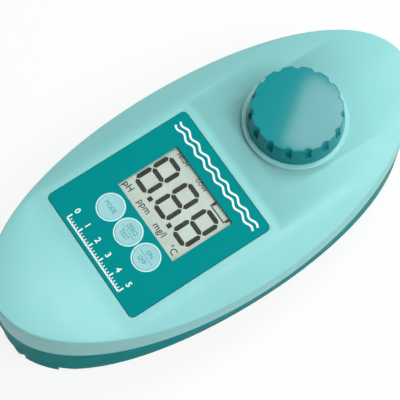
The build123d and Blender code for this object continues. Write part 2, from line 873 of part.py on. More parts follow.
def cell_along_x(y, direction):
    """Round cell with its nub at one end."""
    middle = bay_centre_x
    body_length_x = cell_length - cell_nub
    shift = -direction * cell_nub / 2
    cell = Pos(middle + shift, y, cell_centre_z) * Rot(0, 90, 0) * Cylinder(cell_radius, body_length_x)
    nub_x = middle + direction * (cell_length / 2 - cell_nub / 2)
    return cell + Pos(nub_x, y, cell_centre_z) * Rot(0, 90, 0) * Cylinder(cell_nub_radius, cell_nub)


def battery_cells():
    """Three cells side by side, the middle one turned round."""
    return Compound(children=[cell_along_x(y, 1 - 2 * (index % 2)) for index, y in enumerate(cell_ys)])


def battery_contacts():
    """Flat metal plates at both ends of the cells."""
    plates = []
    half = contact_side / 2
    for y in cell_ys:
        for x in (bay_rear_x, bay_front_x - contact_thickness):
            low = (x, y - half, cell_centre_z - half)
            plates.append(block(low, (x + contact_thickness, y + half, cell_centre_z + half)))
    return Compound(children=plates)


def battery_springs():
    """Helical spring between each cell's flat end and its plate."""
    springs = []
    for index, y in enumerate(cell_ys):
        direction = 1 - 2 * (index % 2)
        plate_face = bay_length / 2 - contact_thickness
        space = plate_face - cell_length / 2 - 2 * spring_wire
        path = Helix(pitch=space / spring_turns, height=space, radius=spring_radius)
        start = Plane(origin=path @ 0, z_dir=path % 0)
        coil = sweep(start * Circle(spring_wire), path=path, is_frenet=True)
        place = Pos(bay_centre_x - direction * (cell_length / 2 + spring_wire), y, cell_centre_z)
        springs.append(place * Rot(0, -90 * direction, 0) * coil)
    return Compound(children=springs)


def battery_cradle():
    """Saddle over the cells, against the bay's roof."""
    half_x = cell_length / 2 - cradle_end_inset
    half_y = bay_width / 2 - cover_gap
    low = (bay_centre_x - half_x, -half_y, cell_centre_z + 1)
    cradle = block(low, (bay_centre_x + half_x, half_y, bay_top_z))
    for y in cell_ys:
        cradle -= Pos(bay_centre_x, y, cell_centre_z) * Rot(0, 90, 0) * Cylinder(
            cell_radius + cradle_slip, cell_length + 2
        )
    return cradle


def battery_leads():
    """Two wires from the bay's roof up to the board, with a slack bend."""
    leads = []
    for y in wire_ys:
        end_x = wire_x + wire_shift
        end_y = y - math.copysign(wire_draw_in, y)
        points = [
            (wire_x, y, bay_top_z),
            (wire_x, y, bay_roof_z + wire_rise),
            (end_x, end_y, bay_roof_z + wire_rise + wire_slack),
            (end_x, end_y, board_low_z),
        ]
        path = FilletPolyline(*points, radius=wire_bend)
        section = Plane(origin=path @ 0, z_dir=path % 0) * Circle(wire_radius)
        leads.append(sweep(section, path=path))
    return Compound(children=leads)


pieces = {
    "upper_shell": upper_shell(),
    "lower_shell": lower_shell(),
    "perimeter_seal": perimeter_seal(),
    "shell_screws": shell_screws(),
    "label_overlay": label_overlay(),
    "display_window": pane_block(0),
    "lcd_glass": glass(),
    "display_frame": display_frame(),
    "contact_strips": Compound(children=[strip_box(side, 0) for side in (-1, 1)]),
    "circuit_board": circuit_board(),
    "board_components": board_components(),
    "board_screws": board_screws(),
    "key_switches": key_switches(),
    "key_bezels": key_bezels(),
    "sample_chamber": sample_chamber(),
    "chamber_seal": cup_seal(),
    "chamber_screws": chamber_screws(),
    "optical_windows": optical_windows(),
    "led_holder": holder(-1),
    "led_emitter": led_emitter(),
    "detector_holder": holder(1),
    "optical_filter": optical_filter(),
    "photodiode": photodiode(),
    "holder_screws": holder_screws(),
    "chamber_cap": chamber_cap(),
    "cap_seal": cap_seal(),
    "battery_cover": battery_cover(),
    "battery_cover_seal": battery_cover_seal(),
    "battery_cover_screws": battery_cover_screws(),
    "battery_cells": battery_cells(),
    "battery_contacts": battery_contacts(),
    "battery_springs": battery_springs(),
    "battery_cradle": battery_cradle(),
    "battery_leads": battery_leads(),
}
for name, y in zip(("mode", "zero_test", "on_off"), key_ys):
    pieces["key_" + name] = key(y)
    pieces["key_" + name + "_seal"] = key_seal(y)

for name, piece in pieces.items():
    export_step(piece, "parts/" + name + ".step")
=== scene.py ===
"""Looks of a hand-held pool water tester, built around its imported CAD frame."""

import json
import math

import bmesh
import bpy
import numpy as np
from mathutils import Matrix, Vector


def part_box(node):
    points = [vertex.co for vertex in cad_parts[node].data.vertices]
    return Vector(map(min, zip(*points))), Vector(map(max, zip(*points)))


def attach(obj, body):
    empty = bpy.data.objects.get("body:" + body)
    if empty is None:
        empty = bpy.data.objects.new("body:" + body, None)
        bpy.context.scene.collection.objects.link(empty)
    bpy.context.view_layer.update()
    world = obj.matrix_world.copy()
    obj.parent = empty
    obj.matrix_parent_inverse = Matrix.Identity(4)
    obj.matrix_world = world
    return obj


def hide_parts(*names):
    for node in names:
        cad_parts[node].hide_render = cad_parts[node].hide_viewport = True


bl_info = {
    "name": "Pool Water Tester Looks",
    "version": (1, 0, 0),
    "blender": (4, 5, 0),
    "location": "View3D > Sidebar > Tester",
    "description": "Finished surfaces, printing, materials and studio of a pool water tester",
    "category": "Object",
}

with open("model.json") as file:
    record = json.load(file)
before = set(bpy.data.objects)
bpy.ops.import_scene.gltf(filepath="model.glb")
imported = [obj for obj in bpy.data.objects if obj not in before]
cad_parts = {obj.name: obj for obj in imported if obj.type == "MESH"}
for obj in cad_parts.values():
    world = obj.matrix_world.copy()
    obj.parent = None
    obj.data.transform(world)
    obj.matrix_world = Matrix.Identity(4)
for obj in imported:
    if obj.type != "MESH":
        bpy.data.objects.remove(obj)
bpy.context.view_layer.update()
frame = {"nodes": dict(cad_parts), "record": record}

MM = 0.001
IMAGE_SIZE = 400.0
FINISH_PREFIX = "finish_"

# Places taken from the frame, in metres
CAP_LOW, CAP_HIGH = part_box("chamber_cap")
LABEL_LOW, LABEL_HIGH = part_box("label_overlay")
DISPLAY_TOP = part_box("lcd_glass")[1].z
CAP_X = (CAP_LOW.x + CAP_HIGH.x) / 2

# Finishes: span of the noise in use, depth of the grain, reach and limits of the edge wear
NOISE_LOW = 0.3
NOISE_HIGH = 0.7
GRAIN_DEPTH = 0.0001
EDGE_REACH = 0.35 * MM
EDGE_START = 0.985
EDGE_FULL = 0.85
EDGE_PALENESS = 0.5

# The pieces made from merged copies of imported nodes, with their finishes
SHELLS = (
    ("upper_shell", "pale_shell"),
    ("lower_shell", "teal_shell"),
    ("battery_cover", "pale_shell"),
)
SHELL_SOFT_ANGLE = 28.0
SHELL_MERGE = 2e-6

# The cap: taper, bore and ceiling as in the CAD part, flutes by columns around
CAP_TAPER = 1.35 * MM
CAP_BORE = 14.1 * MM
CAP_CEILING = 55.0 * MM
CAP_RIM_ROW = 0.25 * MM
CAP_BEVEL_SEGMENTS = 3
CAP_BEVEL_ANGLE = 38.0
CAP_SIDE_ROWS = 6
CAP_EDGE_STEPS = 6
CAP_TOP_SHARES = np.concatenate([[0.97, 0.9], np.linspace(0.84, 0.0, 12)])
CAP_FLUTED_SHARE = 0.85
FLUTE_STEPS = 12
LAND_STEPS = 12
FLUTE_PHASE = math.radians(7.0)
# How far the flutes lean inwards over the cap's height
FLUTE_LEAN = 0.5 * MM

# Keys: captions line by line, and the rule between two lines
KEY_WORDS = {"key_mode": ("MODE",), "key_zero_test": ("ZERO", "TEST"), "key_on_off": ("ON", "OFF")}
KEY_RULE = 0.15 * MM
KEY_RULE_REACH = 2.2
KEY_SEGMENTS = 72
CAPTION_SQUEEZE = 0.85
# Height of a capital letter of the built-in font as a share of its size
CAPITAL_SHARE = 0.7

# The film's print, in shares of its width and length and in metres
BORDER_STROKE = 0.22 * MM
FILM_CORNER = 2.0 * MM
WAVE_ROWS = 2
WAVE_CENTRE = 0.916
WAVE_PITCH = 0.036
WAVE_ENDS = (0.945, 0.055)
WAVE_COUNT = 9
WAVE_SWING = 0.55 * MM
WAVE_STROKE = 0.8 * MM
WAVE_POINTS = 97
SCALE_ENDS = (0.80, 0.20)
SCALE_UP = 0.03
SCALE_STEPS = 5
SCALE_PARTS = 5
SCALE_STROKE = 0.7 * MM
SCALE_LONG = 2.3 * MM
SCALE_SHORT = 1.3 * MM
SCALE_NUMBER = 2.3 * MM
LONG_MARK_SHARE = 0.8
SHORT_MARK_SHARE = 0.5
NUMBER_WEIGHT = 0.02

# The display: places in shares of the film, moved a little for the camera's slant into the recess
DIGIT_ACROSS = (0.716, 0.496, 0.277)
DIGIT_UP = 0.6265
SEGMENT_GAP = 0.14
POINT_ACROSS = (0.6065, 0.3855)
POINT_UP = 0.502
BATTERY_ACROSS = 0.278
BATTERY_UP = 0.8035
BATTERY_HALF_LENGTH = 4.1 * MM
BATTERY_HALF_WIDTH = 1.35 * MM
BATTERY_LINE = 0.5 * MM
BATTERY_BAR = 0.7 * MM
SIGHT_SHIFT = (0.38 * MM, 0.5 * MM)
WORD_WEIGHT = 0.01
# Piece name, words, height of a capital in millimetres, place across and up, width
DISPLAY_WORDS = (
    ("word_high", "HIGH", 1.75, 0.7145, 0.8075, 1.0),
    ("word_low", "LOW", 1.75, 0.4955, 0.8075, 1.0),
    ("word_unit_a", "pH", 2.7, 0.76, 0.435, 0.95),
    ("word_unit_b", "ppm", 2.7, 0.585, 0.435, 0.95),
    ("word_unit_c", "mg/l", 2.7, 0.395, 0.435, 0.95),
    ("word_unit_d", "°C", 2.7, 0.235, 0.435, 0.95),
)

# The camera of the photo, worked out from the object's own edges
CAMERA_ELEVATION = math.radians(69.82)
CAMERA_AZIMUTH = math.radians(37.22)
CAMERA_ROLL = math.radians(3.096)
CAMERA_DISTANCE = 0.6328
CAMERA_AIM = Vector((0, 0, 0.0332))
CAMERA_FOCAL_PIXELS = 1692.96
CAMERA_CENTRE_PIXELS = (205.49, 188.16)
SENSOR_WIDTH = 36.0

# Light: the cap reflects the first lamp, the second glazes the near slopes, the third the head end
LAMPS = (
    ("key_lamp", (0.415, 0.154, 1.02), 0.34, 4.3),
    ("side_lamp", (0.25, -0.50, 0.86), 0.48, 5.9),
    ("end_lamp", (0.62, 0.08, 0.74), 0.45, 1.4),
)
LAMP_TARGET = Vector((0, 0, 0.03))
LAMP_AZIMUTH = math.radians(55.0)
WORLD_FILL = 0.2
FLOOR_REACH = 3.0
FLOOR_GLOW = 0.86
FLOOR_COLOUR = (0.86, 0.87, 0.87, 1)


def linear(red, green, blue):
    """Scene-linear colour of a screen colour given in eight-bit steps."""
    steps = np.array((red, green, blue)) / 255
    values = np.where(steps <= 0.04045, steps / 12.92, ((steps + 0.055) / 1.055) ** 2.4)
    return tuple(float(value) for value in values)


def colour_property(name, description, screen):
    """A colour swatch whose default is a screen colour."""
    return bpy.props.FloatVectorProperty(
        name=name, description=description, subtype="COLOR", size=3, min=0, max=1,
        default=linear(*screen),
    )


def length_property(name, description, millimetres):
    """A length whose default is given in millimetres."""
    return bpy.props.FloatProperty(
        name=name, description=description, unit="LENGTH", precision=5, min=0, default=millimetres * MM
    )


class TesterColours(bpy.types.PropertyGroup):
    """Colours of the tester's outside."""

    shell: colour_property("Shell", "Pale upper cover, battery cover", (136, 204, 203))
    base: colour_property("Base", "Teal lower cover", (0, 136, 136))
    label: colour_property("Label", "Printed film in the recess", (0, 138, 139))
    cap: colour_property("Cap", "Screw cap of the sample chamber", (0, 136, 142))
    keys: colour_property("Keys", "Three press keys", (152, 206, 210))
    bezel: colour_property("Bezels", "Thin rings around the keys", (200, 240, 242))
    print: colour_property("Print", "White print on the film", (238, 248, 248))
    display: colour_property("Display", "Unlit display glass", (174, 187, 176))
    segment: colour_property("Segments", "Darkened display segments", (44, 47, 43))


class TesterSizes(bpy.types.PropertyGroup):
    """Sizes of the tester's visible details."""

    flutes: bpy.props.IntProperty(
        name="Flutes", description="Finger flutes around the cap", min=3, default=15
    )
    flute_radius: length_property("Flute radius", "Radius of each flute's cutter", 1.7)
    flute_ledge: length_property("Flute ledge", "Height of the ledge under the flutes", 3.9)
    cap_edge: length_property("Cap edge", "Rounding of the cap's upper edge", 0.3)
    cap_dome: length_property("Cap dome", "Rise of the cap's top", 0.6)
    edge_softness: length_property("Edge softness", "Rounding of moulded edges", 0.12)
    print_thickness: length_property("Print thickness", "Height of printed ink", 0.03)
    digit_height: length_property("Digit height", "Height of the display's digits", 17.0)
    digit_width: length_property("Digit width", "Width of the display's digits", 9.2)
    digit_stroke: length_property("Digit stroke", "Width of one display segment", 1.9)
    key_radius: length_property("Key radius", "Radius of a key's barrel", 5.0)
    key_rim: length_property("Key rim", "Rounding of a key's rim", 0.25)
    key_dish: length_property("Key dish", "Depth of a key's shallow dish", 0.08)
    caption_height: length_property("Caption height", "Height of the letters on the keys", 1.75)


def node_graph(name):
    """A new material with its nodes, its links and its main shader."""
    material = bpy.data.materials.new(name)
    material.use_nodes = True
    nodes = material.node_tree.nodes
    shader = nodes["Principled BSDF"]
    return material, nodes, material.node_tree.links, shader


def noise(nodes, links, scale, detail=2.0, stretch=(1, 1, 1)):
    """Noise on the object's own coordinates, with its pattern stretched along the axes."""
    place = nodes.new("ShaderNodeTexCoord")
    mapping = nodes.new("ShaderNodeMapping")
    mapping.inputs["Scale"].default_value = stretch
    texture = nodes.new("ShaderNodeTexNoise")
    texture.inputs["Scale"].default_value = scale
    texture.inputs["Detail"].default_value = detail
    links.new(place.outputs["Object"], mapping.inputs["Vector"])
    links.new(mapping.outputs["Vector"], texture.inputs["Vector"])
    return texture.outputs["Fac"]


def span(nodes, links, value, low, high):
    """A noise value spread from a low to a high number."""
    ranged = nodes.new("ShaderNodeMapRange")
    ranged.inputs["From Min"].default_value = NOISE_LOW
    ranged.inputs["From Max"].default_value = NOISE_HIGH
    ranged.inputs["To Min"].default_value = low
    ranged.inputs["To Max"].default_value = high
    links.new(value, ranged.inputs["Value"])
    return ranged.outputs["Result"]


def finish(name, colour, roughness=0.35, metallic=0.0, cloud=60, shade=0.05, grain=2500,
           bump=0.06, spread=0.06, wear=0.06, coat=0.0, coat_gloss=0.3, specular=0.3,
           stretch=(1, 1, 1), transmission=0.0, ior=1.5, alpha=1.0):
    """A finish on the object's own coordinates.

    Clouds of noise shift the colour between a darker and a lighter shade, a finer noise spreads the
    roughness, a fine grain makes the bump, and edges, found where the rounded normal leaves the true
    one, are paler.
    """
    material, nodes, links, shader = node_graph(FINISH_PREFIX + name)
    dark = tuple(channel * (1 - shade) for channel in colour) + (1,)
    light = tuple(min(1, channel * (1 + shade)) for channel in colour) + (1,)
    clouds = nodes.new("ShaderNodeMix")
    clouds.data_type = "RGBA"
    clouds.inputs["A"].default_value = dark
    clouds.inputs["B"].default_value = light
    links.new(span(nodes, links, noise(nodes, links, cloud, 3.0), 0, 1), clouds.inputs["Factor"])
    geometry = nodes.new("ShaderNodeNewGeometry")
    rounding = nodes.new("ShaderNodeBevel")
    rounding.samples = 4
    rounding.inputs["Radius"].default_value = EDGE_REACH
    likeness = nodes.new("ShaderNodeVectorMath")
    likeness.operation = "DOT_PRODUCT"
    links.new(rounding.outputs["Normal"], likeness.inputs[0])
    links.new(geometry.outputs["Normal"], likeness.inputs[1])
    edges = nodes.new("ShaderNodeMapRange")
    edges.inputs["From Min"].default_value = EDGE_START
    edges.inputs["From Max"].default_value = EDGE_FULL
    edges.inputs["To Max"].default_value = wear
    links.new(likeness.outputs["Value"], edges.inputs["Value"])
    worn = nodes.new("ShaderNodeMix")
    worn.data_type = "RGBA"
    pale = tuple(channel + (1 - channel) * EDGE_PALENESS for channel in colour) + (1,)
    worn.inputs["B"].default_value = pale
    links.new(edges.outputs["Result"], worn.inputs["Factor"])
    links.new(clouds.outputs["Result"], worn.inputs["A"])
    links.new(worn.outputs["Result"], shader.inputs["Base Color"])
    patches = noise(nodes, links, cloud * 7, 4.0, stretch)
    gloss = span(nodes, links, patches, roughness - spread, roughness + spread)
    links.new(gloss, shader.inputs["Roughness"])
    relief = nodes.new("ShaderNodeBump")
    relief.inputs["Strength"].default_value = bump
    relief.inputs["Distance"].default_value = GRAIN_DEPTH
    links.new(noise(nodes, links, grain, 2.0, stretch), relief.inputs["Height"])
    links.new(relief.outputs["Normal"], shader.inputs["Normal"])
    shader.inputs["Metallic"].default_value = metallic
    shader.inputs["Coat Weight"].default_value = coat
    shader.inputs["Coat Roughness"].default_value = coat_gloss
    shader.inputs["Specular IOR Level"].default_value = specular
    shader.inputs["IOR"].default_value = ior
    shader.inputs["Transmission Weight"].default_value = transmission
    shader.inputs["Alpha"].default_value = alpha
    return material


def make_materials():
    """All finishes of the tester, by their slot in the record."""
    colours = bpy.context.scene.tester_colours
    values = {
        "pale_shell": dict(
            colour=colours.shell, roughness=0.48, cloud=25, shade=0.03, bump=0.03, specular=0.42,
        ),
        "teal_shell": dict(
            colour=colours.base, roughness=0.38, cloud=30, shade=0.06, bump=0.08, specular=0.005,
        ),
        "teal_film": dict(
            colour=colours.label, roughness=0.5, cloud=40, shade=0.03, grain=5200, bump=0.04,
            specular=0.02,
        ),
        "teal_cap": dict(
            colour=colours.cap, roughness=0.12, cloud=45, shade=0.04, bump=0.01, spread=0.02,
            specular=0.2,
        ),
        "key_plastic": dict(colour=colours.keys, roughness=0.4, cloud=90, shade=0.03, specular=0.1),
        "bezel_white": dict(colour=colours.bezel, cloud=120, shade=0.02),
        "white_ink": dict(colour=colours.print, roughness=0.5, cloud=300, shade=0.02, grain=6000),
        "teal_ink": dict(colour=colours.label, roughness=0.5, cloud=300, shade=0.03, grain=6000),
        "dark_ink": dict(
            colour=linear(6, 84, 84), roughness=0.5, cloud=300, shade=0.03, grain=6000, specular=0.05,
        ),
        "display_glass": dict(
            colour=colours.display, roughness=0.28, cloud=50, bump=0.02, specular=0.15,
        ),
        "display_ink": dict(colour=colours.segment, cloud=200, shade=0.08, bump=0.02, specular=0.1),
        "clear_window": dict(
            colour=(0.97, 0.985, 0.98), roughness=0.06, shade=0.01, bump=0.01, spread=0.03,
            wear=0.0, transmission=1.0, ior=1.12, alpha=0.2,
        ),
        "black_plastic": dict(colour=(0.02, 0.021, 0.023), roughness=0.45),
        "grey_rubber": dict(colour=(0.08, 0.085, 0.09), roughness=0.65, grain=1800, bump=0.12),
        "seal_rubber": dict(colour=(0.018, 0.018, 0.019), roughness=0.6, grain=1800, bump=0.12),
        "liner": dict(colour=linear(214, 220, 214), roughness=0.7, grain=1500, bump=0.2),
        "board_green": dict(colour=linear(24, 96, 66), cloud=400, shade=0.18, grain=900, bump=0.1),
        "chip_black": dict(colour=(0.025, 0.025, 0.026), roughness=0.55, grain=3000, bump=0.15),
        "clear_cup": dict(
            colour=linear(214, 224, 224), roughness=0.22, cloud=50, shade=0.03, bump=0.02,
        ),
        "steel": dict(
            colour=linear(176, 178, 180), roughness=0.28, metallic=1.0, grain=1400, bump=0.1,
            stretch=(1, 1, 6),
        ),
        "lamp_clear": dict(
            colour=linear(226, 234, 232), roughness=0.1, transmission=0.6, bump=0.01, spread=0.04,
        ),
        "filter_green": dict(
            colour=linear(40, 150, 84), roughness=0.12, transmission=0.5, bump=0.01,
        ),
        "cell_jacket": dict(
            colour=linear(46, 50, 58), roughness=0.3, cloud=70, shade=0.12, coat=0.4,
        ),
        "nickel": dict(colour=linear(196, 193, 188), roughness=0.2, metallic=1.0, grain=1600),
        "wire_jacket": dict(colour=linear(150, 28, 26), cloud=200),
    }
    made = {}
    for slot, settings in values.items():
        settings["colour"] = tuple(settings["colour"])
        made[slot] = finish(slot, **settings)
    return made


def grid_faces(rows, columns, around=False):
    """Quads between neighbouring rows of a grid of points; around closes the rows into rings."""
    row = np.arange(rows - 1)[:, None]
    column = np.arange(columns if around else columns - 1)[None, :]
    following = (column + 1) % columns
    corners = [row * columns + column, row * columns + following]
    corners += [(row + 1) * columns + following, (row + 1) * columns + column]
    return np.stack([corner.ravel() for corner in corners], axis=1)


def mesh_object(name, points, faces, soft_angle=35.0):
    """An object from points in metres and faces; edges under an angle shade soft."""
    mesh = bpy.data.meshes.new(name)
    mesh.from_pydata(points.tolist(), [], faces.tolist())
    return finished_object(name, mesh, soft_angle)


def finished_object(name, mesh, soft_angle=35.0, merge=1e-6):
    """An object from a mesh: doubles merged, empty faces gone, normals outwards, shading soft."""
    tidy = bmesh.new()
    tidy.from_mesh(mesh)
    bmesh.ops.remove_doubles(tidy, verts=tidy.verts, dist=merge)
    bmesh.ops.dissolve_degenerate(tidy, edges=tidy.edges, dist=merge)
    bmesh.ops.recalc_face_normals(tidy, faces=tidy.faces)
    tidy.to_mesh(mesh)
    tidy.free()
    mesh.polygons.foreach_set("use_smooth", np.ones(len(mesh.polygons), dtype=bool))
    mesh.set_sharp_from_angle(angle=math.radians(soft_angle))
    piece = bpy.data.objects.new(name, mesh)
    bpy.context.scene.collection.objects.link(piece)
    return piece


def settle(piece, body, material, node=None):
    """Gives a piece its finish and its place in the frame."""
    piece.data.materials.clear()
    piece.data.materials.append(material)
    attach(piece, body)
    if node:
        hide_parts(node)
    return piece


def soften(piece, width, segments, angle):
    """Rounds the piece's sharp edges by a small width."""
    bevel = piece.modifiers.new("soft edges", "BEVEL")
    bevel.width = width
    bevel.segments = segments
    bevel.limit_method = "ANGLE"
    bevel.angle_limit = math.radians(angle)
    bevel.use_clamp_overlap = True
    bevel.harden_normals = True
    return piece


def turned(profile, centre, segments=96):
    """Surface of revolution: each profile point (radius, height) goes once around an upright axis."""
    angle = np.linspace(0, 2 * np.pi, segments, endpoint=False)
    radius = np.array(profile)[:, 0][:, None]
    height = np.array(profile)[:, 1][:, None]
    x = centre[0] + radius * np.cos(angle)
    y = centre[1] + radius * np.sin(angle)
    z = np.broadcast_to(height, x.shape)
    points = np.stack([x, y, z], axis=2).reshape(-1, 3)
    return points, grid_faces(len(profile), segments, around=True)


def arc(centre, radius, start, end, steps):
    """Points (radius, height) of a profile's round stretch, between two angles in degrees."""
    angle = np.radians(np.linspace(start, end, steps))
    return [(centre[0] + radius * math.cos(a), centre[1] + radius * math.sin(a)) for a in angle]


def smooth_copy(name, node):
    """The merged, softly shaded copy of a CAD node."""
    mesh = frame["nodes"][node].data.copy()
    mesh.name = name
    return finished_object(name, mesh, SHELL_SOFT_ANGLE, SHELL_MERGE)


def material_for(slot):
    """A finish by its slot name."""
    return bpy.data.materials[FINISH_PREFIX + slot]


class TESTER_OT_finishes(bpy.types.Operator):
    """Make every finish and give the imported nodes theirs"""

    bl_idname = "tester.finishes"
    bl_label = "Finishes"

    def execute(self, context):
        made = make_materials()
        for subpart in frame["record"]["subparts"]:
            node = frame["nodes"][subpart["node"]]
            node.data.materials.clear()
            node.data.materials.append(made[subpart["material_slot"]])
        return {"FINISHED"}


class TESTER_OT_shells(bpy.types.Operator):
    """Upper cover, lower cover and battery cover"""

    bl_idname = "tester.shells"
    bl_label = "Shells"

    def execute(self, context):
        for node, slot in SHELLS:
            piece = smooth_copy(node + "_skin", node)
            settle(piece, "housing", material_for(slot), node)
        return {"FINISHED"}


class TESTER_OT_cap(bpy.types.Operator):
    """Fluted screw cap of the sample chamber"""

    bl_idname = "tester.cap"
    bl_label = "Cap"

    def execute(self, context):
        sizes = context.scene.tester_sizes
        points, faces = cap_surface(sizes)
        piece = mesh_object("screw_cap", points, faces)
        soften(piece, 2 * sizes.edge_softness, CAP_BEVEL_SEGMENTS, CAP_BEVEL_ANGLE)
        settle(piece, "cap", material_for("teal_cap"), "chamber_cap")
        return {"FINISHED"}


def cap_surface(sizes):
    """The cap's closed surface.

    Rows run from the inner top, down the bore, out under the rim, up the tapered side, around the
    upper edge and in over the domed top. Columns run around, packed between the corners of each
    flute, where the side's circle meets the circle of that flute's cutter: there the radius is the
    smaller of the two. The top is a paraboloid over the distance from the axis.
    """
    low_z, high_z = CAP_LOW.z, CAP_HIGH.z
    base_radius = (CAP_HIGH.y - CAP_LOW.y) / 2
    edge_z = high_z - sizes.cap_dome
    rise = edge_z - low_z
    ledge = sizes.flute_ledge
    edge = sizes.cap_edge
    flat = base_radius - CAP_TAPER - edge
    turn = 2 * np.pi / sizes.flutes
    columns = FLUTE_STEPS + LAND_STEPS
    flute_shares = np.linspace(-1, 1, FLUTE_STEPS, endpoint=False)
    land_shares = np.linspace(0, 1, LAND_STEPS, endpoint=False)
    share = np.concatenate([flute_shares, land_shares])
    in_flute = np.arange(columns) < FLUTE_STEPS

    def ring(side_radius, height, fluted, shrink=0.0):
        """One row: a circle of the side's radius, cut by the flutes and drawn in by a shrink."""
        cutter = base_radius - FLUTE_LEAN * max(0.0, height - low_z) / rise
        reach = side_radius**2 + cutter**2 - sizes.flute_radius**2
        corner = math.acos(min(1, reach / (2 * side_radius * cutter)))
        offset = np.where(in_flute, share * corner, corner + share * (turn - 2 * corner))
        distance = cutter * np.sin(offset)
        depth = np.sqrt(np.maximum(sizes.flute_radius**2 - distance**2, 0))
        cut = np.minimum(cutter * np.cos(offset) - depth, side_radius)
        radius = np.where(in_flute & fluted, cut, side_radius) - shrink
        angle = (FLUTE_PHASE + np.arange(sizes.flutes)[:, None] * turn + offset[None, :]).ravel()
        radius = np.broadcast_to(radius, (sizes.flutes, columns)).ravel()
        x = CAP_X + radius * np.cos(angle)
        y = radius * np.sin(angle)
        return np.stack([x, y, np.full(angle.shape, height)], axis=1)

    def side_at(height):
        """Radius of the tapered side at a height above the rim."""
        return base_radius - CAP_TAPER * height / rise

    def domed(row, level):
        """Lifts a row from a level by the dome's height at each point's distance from the axis."""
        distance = np.hypot(row[:, 0] - CAP_X, row[:, 1])
        row[:, 2] = level + sizes.cap_dome * np.maximum(0, 1 - (distance / flat) ** 2)
        return row

    rows = [ring(CAP_BORE, CAP_CEILING, False), ring(CAP_BORE, low_z, False)]
    for height in (0.0, CAP_RIM_ROW, ledge / 2, ledge):
        rows.append(ring(side_at(height), low_z + height, False))
    for height in np.linspace(ledge, rise - edge, CAP_SIDE_ROWS):
        rows.append(ring(side_at(height), low_z + height, True))
    for angle in np.radians(np.linspace(0, 90, CAP_EDGE_STEPS))[1:]:
        level = edge_z - edge * (1 - math.sin(angle))
        row = ring(side_at(rise - edge), level, True, edge * (1 - math.cos(angle)))
        rows.append(domed(row, level))
    for part in CAP_TOP_SHARES:
        row = ring(flat + edge, edge_z, part > CAP_FLUTED_SHARE)
        scale = part * flat / (flat + edge)
        row[:, 0] = CAP_X + (row[:, 0] - CAP_X) * scale
        row[:, 1] *= scale
        rows.append(domed(row, edge_z))
    count = len(rows[0])
    rows.insert(0, np.tile((CAP_X, 0.0, CAP_CEILING), (count, 1)))
    return np.concatenate(rows), grid_faces(len(rows), count, around=True)


def on_label(across, up):
    """Point of the film at a share of its width, from -Y, and of its length, from the tail."""
    x = LABEL_LOW.x + up * (LABEL_HIGH.x - LABEL_LOW.x)
    y = LABEL_LOW.y + across * (LABEL_HIGH.y - LABEL_LOW.y)
    return x, y


def lay_out(flat, centre):
    """Turns flat points (right, up) to the reading direction: right is -Y and up is +X."""
    flat = np.asarray(flat, float)
    return np.stack([centre[0] + flat[:, 1], centre[1] - flat[:, 0]], axis=1)


def plates(outlines, low_z, high_z):
    """Thin plates: each flat outline is swept straight up between two heights and closed."""
    points, faces, start = [], [], 0
    for outline in outlines:
        count = len(outline)
        for z in (low_z, high_z):
            points.append(np.column_stack([outline, np.full(count, z)]))
        corner = np.arange(count)
        after = (corner + 1) % count
        sides = np.stack([corner, after, after + count, corner + count], axis=1) + start
        faces += sides.tolist() + [(corner[::-1] + start).tolist(), (corner + count + start).tolist()]
        start += 2 * count
    return np.concatenate(points), faces


def plate_object(name, outlines, low_z, high_z):
    """An object of thin plates."""
    points, faces = plates(outlines, low_z, high_z)
    mesh = bpy.data.meshes.new(name)
    mesh.from_pydata(points.tolist(), [], faces)
    return finished_object(name, mesh)


def stroke(path, width, low_z, high_z, closed=False):
    """A flat stroke: an upright rectangle swept along a path, with two ends or closed to a ring."""
    path = np.asarray(path, float)
    if closed:
        along = np.roll(path, -1, axis=0) - np.roll(path, 1, axis=0)
    else:
        along = np.gradient(path, axis=0)
    along /= np.linalg.norm(along, axis=1)[:, None]
    side = np.column_stack([-along[:, 1], along[:, 0]]) * width / 2
    count = len(path)
    left, right = path - side, path + side
    corners = ((right, low_z), (left, low_z), (left, high_z), (right, high_z))
    columns = [np.column_stack([place, np.full(count, z)]) for place, z in corners]
    points = np.stack(columns, axis=1)
    if closed:
        points = np.concatenate([points, points[:1]])
    faces = grid_faces(len(points), 4, around=True)
    if not closed:
        last = 4 * (count - 1)
        faces = np.concatenate([faces, [[3, 2, 1, 0], [last, last + 1, last + 2, last + 3]]])
    return points.reshape(-1, 3), faces


def stroke_object(name, strokes):
    """One object of several strokes."""
    points, faces, start = [], [], 0
    for places, corners in strokes:
        points.append(places)
        faces.append(corners + start)
        start += len(places)
    return mesh_object(name, np.concatenate(points), np.concatenate(faces))


def lettering(name, words, height, centre, low_z, thickness, weight=0.0, squeeze=1.0):
    """Words as a thin mesh: a text curve is made a mesh, then scaled, turned and placed."""
    curve = bpy.data.curves.new(name, "FONT")
    curve.body = words
    curve.size = 1.0
    curve.offset = weight
    curve.resolution_u = 3
    curve.align_x = "CENTER"
    curve.align_y = "CENTER"
    curve.extrude = 0.5
    source = bpy.data.objects.new(name + "_curve", curve)
    bpy.context.scene.collection.objects.link(source)
    bpy.context.view_layer.update()
    graph = bpy.context.evaluated_depsgraph_get()
    mesh = bpy.data.meshes.new_from_object(source.evaluated_get(graph))
    bpy.data.objects.remove(source)
    bpy.data.curves.remove(curve)
    points = np.empty(len(mesh.vertices) * 3)
    mesh.vertices.foreach_get("co", points)
    points = points.reshape(-1, 3)
    middle = (points.max(0) + points.min(0)) / 2
    scale = height / CAPITAL_SHARE
    flat = (points[:, :2] - middle[:2]) * (scale * squeeze, scale)
    placed = np.column_stack([lay_out(flat, centre), low_z + (points[:, 2] + 0.5) * thickness])
    mesh.vertices.foreach_set("co", placed.ravel())
    mesh.update()
    return finished_object(name, mesh, merge=1e-7)


